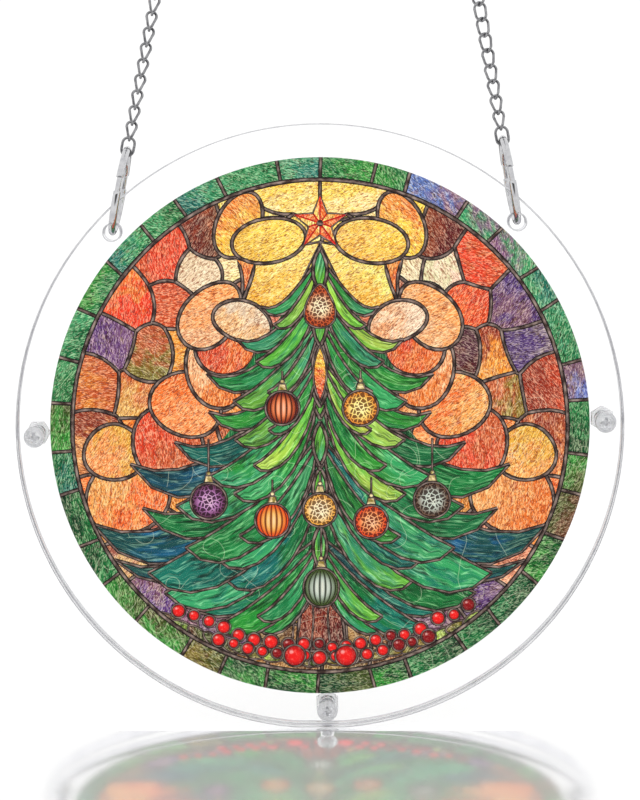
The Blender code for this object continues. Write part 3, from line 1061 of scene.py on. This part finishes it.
def build_ring(side, transform, materials):
    tongue = TONGUE_DIAMETER / 2
    tip = JOINT_ANGLE + math.degrees(REST_GAP / RING_RADIUS)
    root = tip + math.degrees(TONGUE_LENGTH / RING_RADIUS)
    lower = ring_points(spaced(tip, root), tongue)
    lower += eased_ends(root + 0.01, 360 - root - 0.01)
    lower += ring_points(spaced(360 - root, 360 - tip), tongue)
    for half, path in (("upper", eased_ends(-JOINT_ANGLE, JOINT_ANGLE)), ("lower", lower)):
        bm = bmesh.new()
        sweep(bm, path, sides=RING_SIDES)
        name = f"ring_{side}_{half}"
        mesh = mesh_from(bm, "bright_" + name, transform, [materials["chrome"]], 40)
        link_piece(mesh, name)


# Chain

LINK_STEPS = 28
LINK_SIDES = 10
CROWN_GAP = 0.00002


def stadium(width, length, steps):
    """Points (across, along, outward direction) round a link's middle line."""
    radius = width / 2
    straight = length / 2 - radius
    around = []
    for end in (1, -1):
        for step in range(steps // 2 + 1):
            turn = math.pi * step / (steps // 2)
            way = (math.cos(turn) * end, math.sin(turn) * end)
            around.append((way[0] * radius, way[1] * radius + straight * end, way))
    return around


def add_plain_link(bm, centre, across, width, length):
    up = Vector((0, 0, 1))
    normal = across.cross(up)
    path = []
    for x, z, way in stadium(width, length, LINK_STEPS):
        side = across * way[0] + up * way[1]
        path.append((centre + across * x + up * z, side, normal, CHAIN_WIRE / 2))
    sweep(bm, path, closed=True, sides=LINK_SIDES)


def add_curb_link(bm, height, turn, length):
    """A link whose crowns stand a quarter turn from each other."""
    points = []
    angles = []
    for x, z, _ in stadium(LINK_WIDTH - CHAIN_WIRE, length, LINK_STEPS):
        angle = math.radians(turn - 45.0 + 45.0 * clamp(2 * z / length, -1, 1))
        angles.append(angle)
        points.append(Vector((x * math.cos(angle), x * math.sin(angle), height + z)))
    path = []
    for index, (point, angle) in enumerate(zip(points, angles)):
        along = (points[(index + 1) % len(points)] - points[index - 1]).normalized()
        flat = Vector((-math.sin(angle), math.cos(angle), 0))
        side = along.cross(flat).normalized()
        path.append((point, side, side.cross(along).normalized(), CHAIN_WIRE / 2))
    sweep(bm, path, closed=True, sides=LINK_SIDES)


def leg_turn(side, index, count):
    return LEG_TURNS[side] * min(1.0, min(index, count - 1 - index) / TURN_LINKS)


def build_leg(side, transform, foot, top, materials):
    curb_overlap = 2 * CURB_CORNER - LINK_WELD
    end_overlap = CURB_CORNER + END_CORNER - LINK_WELD
    curb_span = top - foot - 2 * END_LINK_LENGTH + 2 * end_overlap
    nominal = LINK_LENGTH - CURB_CORNER
    count = round((curb_span - curb_overlap) / (nominal - curb_overlap))
    length = (curb_span + (count - 1) * curb_overlap) / count
    pitch = length - curb_overlap
    lowest = foot + END_LINK_LENGTH - end_overlap + length / 2
    bm = bmesh.new()
    for centre, across in ((foot + END_LINK_LENGTH / 2, (1, 0, 0)), (top - END_LINK_LENGTH / 2, (0, 1, 0))):
        add_plain_link(bm, Vector((0, 0, centre)), Vector(across), END_LINK_WIDTH, END_LINK_LENGTH)
    for index in range(count):
        turn = leg_turn(side, index, count)
        add_curb_link(bm, lowest + index * pitch, turn, pitch + CHAIN_WIRE + CROWN_GAP)
    name = f"chain_{side}"
    mesh = mesh_from(bm, "links_" + name, transform, [materials["chain"]])
    link_piece(mesh, name)


def build_hangers(materials):
    seat = math.sqrt(RING_INSIDE ** 2 - PANEL_OUTER_FACE ** 2)
    ring_height = RING_HOLE / 2 - REST_GAP + seat
    foot = ring_height + RING_INSIDE - REST_GAP - CHAIN_WIRE / 2
    arc_centre = TOP_LINK_CENTRE - END_LINK_LENGTH / 2 + TOP_LINK_WIDTH / 2
    rest = LEG_SEAT * math.cos(math.radians(SPREAD_ANGLE))
    for side, angle in RING_ANGLES.items():
        hole = polar(HOLE_CIRCLE_RADIUS, angle + PANEL_ROLL) + DISC_CENTRE
        offset = -LEG_OFFSET if hole.x < 0 else LEG_OFFSET
        reach = Vector((offset, 0, arc_centre - rest)) - hole
        lean = Matrix.Rotation(math.atan2(reach.x, reach.z), 4, "Y")
        leg = Matrix.Translation(hole) @ lean
        build_ring(side, leg @ Matrix.Translation((0, 0, ring_height)), materials)
        build_leg(side, leg, foot, reach.length, materials)
    bm = bmesh.new()
    add_plain_link(bm, Vector((0, 0, TOP_LINK_CENTRE)), Vector((1, 0, 0)), TOP_LINK_WIDTH, END_LINK_LENGTH)
    mesh = mesh_from(bm, "links_top", Matrix(), [materials["chain"]])
    link_piece(mesh, "chain_top_link")


# Screws and nuts

HEAD_SEAT = -PANEL_OUTER_FACE - REST_GAP
HEAD_CROWN = HEAD_SEAT - HEAD_HEIGHT
BRIM_SHARE = 0.35             # of the head's height, below its dome
BRIM_EASE = 0.0002
DOME_STEPS = 10
THREAD_DEPTH = 0.00025
THREAD_PITCH = 0.0005
THREAD_ROWS = 8               # rows of points along each turn of the thread
THREAD_SIDES = 40
RECESS_TAPER = 0.8            # the cross's width at its bottom
NUT_CHAMFER = 0.0004
NUT_FACE_WIDTH = 0.985        # of the width across flats, for the round face at each end
NUT_STEPS = 72
BORE_EASE = 0.00012
BORE_CHAMFER = 0.00015


def screw_mesh(name, transform, materials):
    """A domed head with a soft brim and a threaded shank, in one closed skin."""
    head, brim = HEAD_DIAMETER / 2, HEAD_HEIGHT * BRIM_SHARE
    core = SHANK_DIAMETER / 2
    profile = []
    for step in range(1, DOME_STEPS + 1):
        turn = math.radians(90 * step / DOME_STEPS)
        profile.append((head * math.sin(turn), HEAD_CROWN + (HEAD_HEIGHT - brim) * (1 - math.cos(turn))))
    profile += [(head, HEAD_SEAT - BRIM_EASE), (head - BRIM_EASE * 0.3, HEAD_SEAT - BRIM_EASE * 0.3),
                (head - BRIM_EASE, HEAD_SEAT), (core - THREAD_DEPTH, HEAD_SEAT)]
    bm = bmesh.new()
    rings = [[bm.verts.new((0, HEAD_CROWN, 0))] * THREAD_SIDES]
    rings += [ring_at(bm, depth, circle(radius, THREAD_SIDES)) for radius, depth in profile]
    shank = SHANK_TIP - HEAD_SEAT
    rows = round(shank / THREAD_PITCH * THREAD_ROWS)
    for row in range(1, rows + 1):
        ease = min(1.0, (rows - row) / THREAD_ROWS + 0.35, row / THREAD_ROWS)
        spots = []
        for step in range(THREAD_SIDES):
            wave = abs((row / THREAD_ROWS - step / THREAD_SIDES) % 1.0 * 2 - 1)
            radius = core - THREAD_DEPTH * (1 - clamp(wave * 1.6 - 0.2) * ease)
            spots.append(polar(radius, 360 * step / THREAD_SIDES))
        rings.append(ring_at(bm, HEAD_SEAT + shank * row / rows, spots))
    rings.append([bm.verts.new((0, SHANK_TIP, 0))] * THREAD_SIDES)
    skin(bm, rings)
    return mesh_from(bm, name, transform, materials, 50)


def recess_mesh(transform):
    """The cross that is cut into a screw's head."""
    long, short = RECESS_SPAN / 2, RECESS_SLOT / 2
    outline = []
    for quarter in range(4):
        turn = math.radians(90 * quarter)
        for x, z in ((long, -short), (long, short), (short, short)):
            outline.append(Vector((x * math.cos(turn) - z * math.sin(turn), 0,
                                   x * math.sin(turn) + z * math.cos(turn))))
    bm = bmesh.new()
    ends = ((1, HEAD_CROWN - HEAD_HEIGHT), (RECESS_TAPER, HEAD_CROWN + RECESS_DEPTH))
    near, far = [[bm.verts.new((spot.x * share, depth, spot.z * share)) for spot in outline]
                 for share, depth in ends]
    bm.faces.new(near)
    bm.faces.new(reversed(far))
    skin(bm, [near, far])
    return mesh_from(bm, "recess", transform, [])


def nut_mesh(name, turned, transform, materials):
    """A hexagon with chamfered corners and a plain bore."""
    back = NUT_FACE + NUT_THICKNESS
    hexagon = []
    for step in range(NUT_STEPS):
        angle = 360 * step / NUT_STEPS
        off = (angle - turned + 30) % 60 - 30
        hexagon.append(polar(NUT_FLATS / 2 / math.cos(math.radians(off)), angle))
    face = circle(NUT_FLATS / 2 * NUT_FACE_WIDTH, NUT_STEPS)
    bore, mouth = circle(SCREW_HOLE / 2, NUT_STEPS), circle(SCREW_HOLE / 2 + BORE_EASE, NUT_STEPS)
    bm = bmesh.new()
    rings = [ring_at(bm, depth, spots) for depth, spots in (
        (NUT_FACE, face), (NUT_FACE + NUT_CHAMFER, hexagon), (back - NUT_CHAMFER, hexagon), (back, face),
        (back, mouth), (back - BORE_CHAMFER, bore), (NUT_FACE + BORE_CHAMFER, bore), (NUT_FACE, mouth))]
    skin(bm, rings + rings[:1])
    return mesh_from(bm, name, transform, materials, 25)


def cut_recess(screw, place):
    tool = bpy.data.objects.new("recess", recess_mesh(place))
    bpy.context.collection.objects.link(tool)
    step = screw.modifiers.new("recess", "BOOLEAN")
    step.operation, step.solver, step.object = "DIFFERENCE", "EXACT", tool
    graph = bpy.context.evaluated_depsgraph_get()
    screw.data = bpy.data.meshes.new_from_object(screw.evaluated_get(graph))
    screw.modifiers.clear()
    bpy.data.objects.remove(tool)


def build_fasteners(materials):
    used = [materials["plastic"]]
    for side, angle in SCREW_ANGLES.items():
        place = panel_frame() @ Matrix.Translation(polar(HOLE_CIRCLE_RADIUS, angle))
        mesh = screw_mesh(f"moulded_screw_{side}", place, used)
        cut_recess(link_piece(mesh, f"screw_{side}"), place)
        mesh = nut_mesh(f"moulded_nut_{side}", NUT_TURNS[side], place, used)
        link_piece(mesh, f"nut_{side}")


# Materials


DEPTH_GAMMA = 1.3             # how much the picture's colours are deepened
DEPTH_GAIN = 1.14


class Pigment:
    """A material of the picture in the making. Its body is painted over what the faces carry."""

    def __init__(self, name):
        self.made, self.tree, self.shader = new_material(name)
        self.flow = self.carried("flow", "Vector")
        self.body = None

    def carried(self, name, kind="Color"):
        return node(self.tree, "Attribute", attribute_name=name).outputs[kind]

    def streaks(self, scales, low, high, shift=0.0, scale=1.0, **settings):
        """A mask of noise that runs along the flow."""
        place = stretched(self.tree, self.flow, (*scales, 0), shift)
        return ramp(self.tree, noise(self.tree, place, scale, **settings), low, high)

    def away(self, spot=(0, 0, 0)):
        """Distance from a spot of a round pane, in its radii."""
        return vectors(self.tree, "DISTANCE", stretched(self.tree, self.flow, (1, 1, 0)), spot)

    def mix_tints(self, scales, spread, **settings):
        """Run unevenly from the first tint to the second along the fade."""
        fade = node(self.tree, "SeparateXYZ", {0: self.flow}).outputs[2]
        place = stretched(self.tree, self.flow, (*scales, 0))
        cloud = noise(self.tree, place, 1.0, distortion=0.8, **settings)
        share = maths(self.tree, "ADD", fade, maths(self.tree, "MULTIPLY_ADD", cloud, spread, -spread / 2))
        self.body = self.carried("first_tint")
        self.cover(ramp(self.tree, share, 0.1, 0.9), self.carried("second_tint"))

    def cover(self, mask, colour, strength=1.0):
        self.body = blend(self.tree, maths(self.tree, "MULTIPLY", mask, strength), self.body, colour)

    def darken(self, mask, tint, strength):
        self.cover(mask, blend(self.tree, 1.0, self.body, tint, "MULTIPLY"), strength)

    def lighten(self, mask, tint):
        bright = blend(self.tree, 1.0, self.body, self.body, "SCREEN")
        self.cover(mask, blend(self.tree, 0.34, bright, tint))

    def finish(self, roughness):
        """Deepen the colour, and complete the material."""
        deep = node(self.tree, "Gamma", {0: self.body, 1: DEPTH_GAMMA}).outputs[0]
        lit = blend(self.tree, 1.0, deep, (DEPTH_GAIN,) * 3, "MULTIPLY")
        self.tree.links.new(lit, self.shader.inputs["Base Color"])
        self.shader.inputs["Roughness"].default_value = roughness
        self.shader.inputs["Specular IOR Level"].default_value = 0.1
        return self.made


def glass_material(name, glow=0.0):
    """Streaky cathedral glass: the glow round the star, dark flecks and wavy light strokes."""
    glass = Pigment(name)
    glass.mix_tints((0.2, 0.3), 2.6, detail=4, roughness=0.65)
    if glow:
        centre = DISC_CENTRE + Vector((0, 0, STAR_CENTRE.imag * MM))
        away = vectors(glass.tree, "DISTANCE", object_place(glass.tree), centre)
        glass.cover(ramp(glass.tree, away, GLOW_REACH, 0.004), (1.0, 0.76, 0.2), glow)
    fleck = glass.streaks((0.5, 1.6), 0.48, 0.62, 77, roughness=0.6, distortion=2.4)
    glass.darken(fleck, (0.42, 0.18, 0.1), 0.85)
    stroke = glass.streaks((0.5, 1.9), 0.49, 0.6, 31, roughness=0.55, distortion=2.4)
    glass.lighten(stroke, (1.0, 0.93, 0.7))
    glass.cover(glass.carried("glint", "Fac"), (0.9, 0.9, 0.7), 0.34)
    return glass.finish(0.35)


def leaf_material():
    """Smooth, flowing streaks along each leaf."""
    leaf_glass = Pigment("leaf_glass")
    leaf_glass.mix_tints((0.10, 0.5), 2.4, detail=3, roughness=0.6)
    stroke = leaf_glass.streaks((0.2, 2.2), 0.48, 0.7, 31, detail=3, roughness=0.6, distortion=1.1)
    leaf_glass.lighten(stroke, (0.80, 0.96, 0.62))
    shade = leaf_glass.streaks((0.12, 1.2), 0.48, 0.68, 57, detail=3, roughness=0.6, distortion=0.9)
    leaf_glass.darken(shade, (0.08, 0.15, 0.14), 0.85)
    leaf_glass.cover(leaf_glass.carried("glint", "Fac"), (0.85, 0.92, 0.7), 0.34)
    return leaf_glass.finish(0.32)


def lead_material():
    """Solder: dark at its edges, with an uneven taupe crown."""
    solder = Pigment("solder_line")
    off = maths(solder.tree, "ABSOLUTE", node(solder.tree, "SeparateXYZ", {0: solder.flow}).outputs[1])
    crown = solder.streaks((0.35, 0.4), 0.36, 0.68)
    solder.body = blend(solder.tree, crown, tone(82, 62, 54), tone(178, 160, 150))
    solder.cover(ramp(solder.tree, off, 0.2, 0.78), tone(28, 16, 12))
    return solder.finish(0.3)


def enamel_material():
    enamel = Pigment("enamel_line")
    enamel.body = enamel.carried("first_tint")
    enamel.cover(enamel.streaks((1.2, 0.5), 0.3, 0.7), enamel.carried("second_tint"))
    return enamel.finish(0.3)


def ball_material(name, fluted):
    """A glass ball: dark towards its edge, with flutes or fine filigree."""
    ball = Pigment(name)
    tree = ball.tree
    if fluted:
        x, y, _ = node(tree, "SeparateXYZ", {0: ball.flow}).outputs
        width = maths(tree, "SQRT", maths(tree, "SUBTRACT", 1.05, maths(tree, "MULTIPLY", y, y)))
        across = maths(tree, "ARCSINE", maths(tree, "DIVIDE", x, width))
        wave = maths(tree, "SINE", maths(tree, "MULTIPLY", across, 19.0))
        pattern = maths(tree, "MULTIPLY_ADD", wave, 0.5, 0.5)
    else:
        cells = node(tree, "TexVoronoi", {"Vector": stretched(tree, ball.flow, (1, 1, 0), 3), "Scale": 4.2},
                     feature="DISTANCE_TO_EDGE")
        curls = ball.streaks((1, 1), 0.25, 0.5, 9, 7.0, distortion=2.5)
        pattern = maths(tree, "MULTIPLY", ramp(tree, cells.outputs["Distance"], 0.15, 0.03), curls)
    second = ball.carried("second_tint")
    ball.body = ball.carried("first_tint")
    ball.cover(ramp(tree, ball.away(), 0.35, 1.0), second)
    groove = blend(tree, 1.0, second, (0.22, 0.16, 0.14), "MULTIPLY")
    ball.cover(ramp(tree, pattern, 0.55, 0.05), groove, 0.85)
    bright = maths(tree, "MULTIPLY", pattern, ramp(tree, ball.away(), 0.8, 0.0))
    ball.cover(bright, (1.0, 0.95, 0.8), 0.5)
    return ball.finish(0.3)


def berry_material():
    """Deep red, darker round its edge, with soft facets and a small highlight."""
    berry = Pigment("berry_glass")
    berry.body = berry.carried("first_tint")
    berry.cover(ramp(berry.tree, berry.away(), 0.35, 1.05), berry.carried("second_tint"))
    facet = berry.streaks((1, 1), 0.52, 0.7, 13, 3.2, detail=3, roughness=0.6, distortion=1.5)
    berry.cover(facet, (1.0, 0.32, 0.24), 0.5)
    berry.cover(ramp(berry.tree, berry.away((-0.3, 0.35, 0)), 0.28, 0.06), (1.0, 0.86, 0.82), 0.4)
    return berry.finish(0.25)


def film_edge_material():
    made, tree, shader = new_material("film_edge")
    grain = noise(tree, object_place(tree), 900, 2)
    tree.links.new(blend(tree, grain, tone(150, 146, 140), tone(206, 204, 198)), shader.inputs["Base Color"])
    shader.inputs["Roughness"].default_value = 0.5
    return made


def mottled(name, light, dark, scale, **settings):
    """A material that wavers between two colours, with the noise behind it."""
    made, tree, shader = new_material(name)
    cloud = noise(tree, object_place(tree), scale, **settings)
    tree.links.new(blend(tree, ramp(tree, cloud, 0.35, 0.7), light, dark), shader.inputs["Base Color"])
    return made, tree, shader, cloud


def clear_material(name, light, dark, roughness, spread, ior=1.49, clearness=1.0, alpha=1.0):
    """Clear plastic with a faint cloudiness. At the panels' rims its grey tint is painted shade."""
    made, _, shader, _ = mottled(name, light, dark, spread)
    for key, value in (("Roughness", roughness), ("IOR", ior), ("Transmission Weight", clearness),
                       ("Alpha", alpha)):
        shader.inputs[key].default_value = value
    return made


def metal_material(name, light, dark, roughness):
    made, tree, shader, grain = mottled(name, light, dark, 700, detail=3, roughness=0.6)
    tree.links.new(maths(tree, "MULTIPLY_ADD", grain, 0.1, roughness - 0.05), shader.inputs["Roughness"])
    shader.inputs["Metallic"].default_value = 1.0
    return made


def make_materials():
    return {
        "glass": glass_material("field_glass", 0.55),
        "tile": glass_material("border_glass"),
        "leaf": leaf_material(),
        "lead": lead_material(),
        "enamel": enamel_material(),
        "fluted": ball_material("fluted_ball", True),
        "filigree": ball_material("filigree_ball", False),
        "berry": berry_material(),
        "film_edge": film_edge_material(),
        "acrylic": clear_material("clear_acrylic", (0.90, 0.88, 0.94), (0.80, 0.80, 0.86), 0.05, 30,
                                  clearness=0.0, alpha=0.008),
        # Painted shade: the panels' rounded edges and rim walls are tinted grey, standing in for the thin
        # dark lines that reflections give a clear rim.
        "shaded_acrylic_edge": clear_material("shaded_acrylic_edge", (0.44, 0.44, 0.46), (0.3, 0.3, 0.32), 0.1, 300,
                                       ior=1.3),
        "shaded_acrylic_wall": clear_material("shaded_acrylic_wall", (0.80, 0.80, 0.86), (0.62, 0.62, 0.70), 0.12, 200,
                                       ior=1.3),
        "plastic": clear_material("clear_plastic", (0.98, 0.98, 0.99), (0.90, 0.91, 0.92), 0.2, 500,
                                  clearness=0.75),
        "chrome": metal_material("polished_steel", (0.62, 0.62, 0.63), (0.50, 0.50, 0.52), 0.1),
        # Painted shade: the chain's steel is given a darker colour than the rings', standing in for the dark
        # surroundings that its thin wire mirrors.
        "chain": metal_material("chain_steel", (0.34, 0.34, 0.35), (0.20, 0.20, 0.21), 0.16),
    }


# Stage


def build_floor():
    """A pale shelf, level under and behind the disc and sloping away in front of it."""
    half = FLOOR_WIDTH / 2
    slope = math.radians(FLOOR_SLOPE)
    front = -PANEL_OUTER_FACE
    profile = [(FLOOR_BACK, 0.0), (front, 0.0),
               (front - FLOOR_FRONT * math.cos(slope), -FLOOR_FRONT * math.sin(slope))]
    bm = bmesh.new()
    rows = [[bm.verts.new((x, y, z)) for x in (-half, half)] for y, z in profile]
    for near, far in zip(rows, rows[1:]):
        bm.faces.new((near[0], far[0], far[1], near[1]))
    mesh = bpy.data.meshes.new("floor")
    bm.to_mesh(mesh)
    bm.free()
    made, tree, shader = new_material("floor_gloss")
    grain = noise(tree, object_place(tree), 40, 3)
    tree.links.new(blend(tree, grain, (0.97, 0.97, 0.97), (0.99, 0.99, 0.99)), shader.inputs["Base Color"])
    shader.inputs["Roughness"].default_value = FLOOR_ROUGHNESS
    shader.inputs["Metallic"].default_value = FLOOR_MIRROR
    mesh.materials.append(made)
    floor = bpy.data.objects.new("floor", mesh)
    floor.location.z = DISC_CENTRE.z - PANEL_RADIUS - FLOOR_GAP
    bpy.context.collection.objects.link(floor)


def build_world():
    """White light from all sides. Gloss alone also sees a dim room just below the horizon."""
    world = bpy.data.worlds.new("studio")
    bpy.context.scene.world = world
    world.use_nodes = True
    tree = world.node_tree
    background = tree.nodes["Background"]
    way = node(tree, "SeparateXYZ", {0: node(tree, "TexCoord").outputs["Generated"]})
    facing = ramp(tree, maths(tree, "ABSOLUTE", way.outputs[1]), 0.72, 0.9)
    below = ramp(tree, way.outputs[2], 0.02, -0.04)
    path = node(tree, "LightPath")
    gloss = maths(tree, "MULTIPLY", path.outputs["Is Glossy Ray"],
                  maths(tree, "SUBTRACT", 1.0, path.outputs["Is Transmission Ray"]))
    shade = maths(tree, "MULTIPLY", maths(tree, "MULTIPLY", facing, below), gloss)
    strength = node(tree, "MapRange", {0: shade, 1: 0.0, 2: 1.0, 3: WORLD_STRENGTH, 4: SHADE_STRENGTH})
    tree.links.new(strength.outputs[0], background.inputs["Strength"])
    background.inputs["Color"].default_value = (1, 1, 1, 1)


def build_camera():
    data = bpy.data.cameras.new("camera")
    data.sensor_width = SENSOR_WIDTH
    data.lens = FOCAL_PIXELS * SENSOR_WIDTH / IMAGE_HEIGHT
    data.clip_start, data.clip_end = 0.01, 20
    camera = bpy.data.objects.new("camera", data)
    bpy.context.collection.objects.link(camera)
    rise = math.radians(VIEW_ELEVATION)
    camera.location = DISC_CENTRE + Vector((0, -math.cos(rise), math.sin(rise))) * VIEW_DISTANCE
    below_middle = math.atan((CENTRE_ROW - IMAGE_HEIGHT / 2) / FOCAL_PIXELS)
    camera.rotation_euler = (math.pi / 2 - rise + below_middle, 0, 0)
    bpy.context.scene.camera = camera


def main():
    materials = make_materials()
    build_picture(materials)
    build_panels(materials)
    build_hangers(materials)
    build_fasteners(materials)
    build_floor()
    build_world()
    build_camera()
    bpy.context.scene.view_settings.view_transform = "Standard"


main()
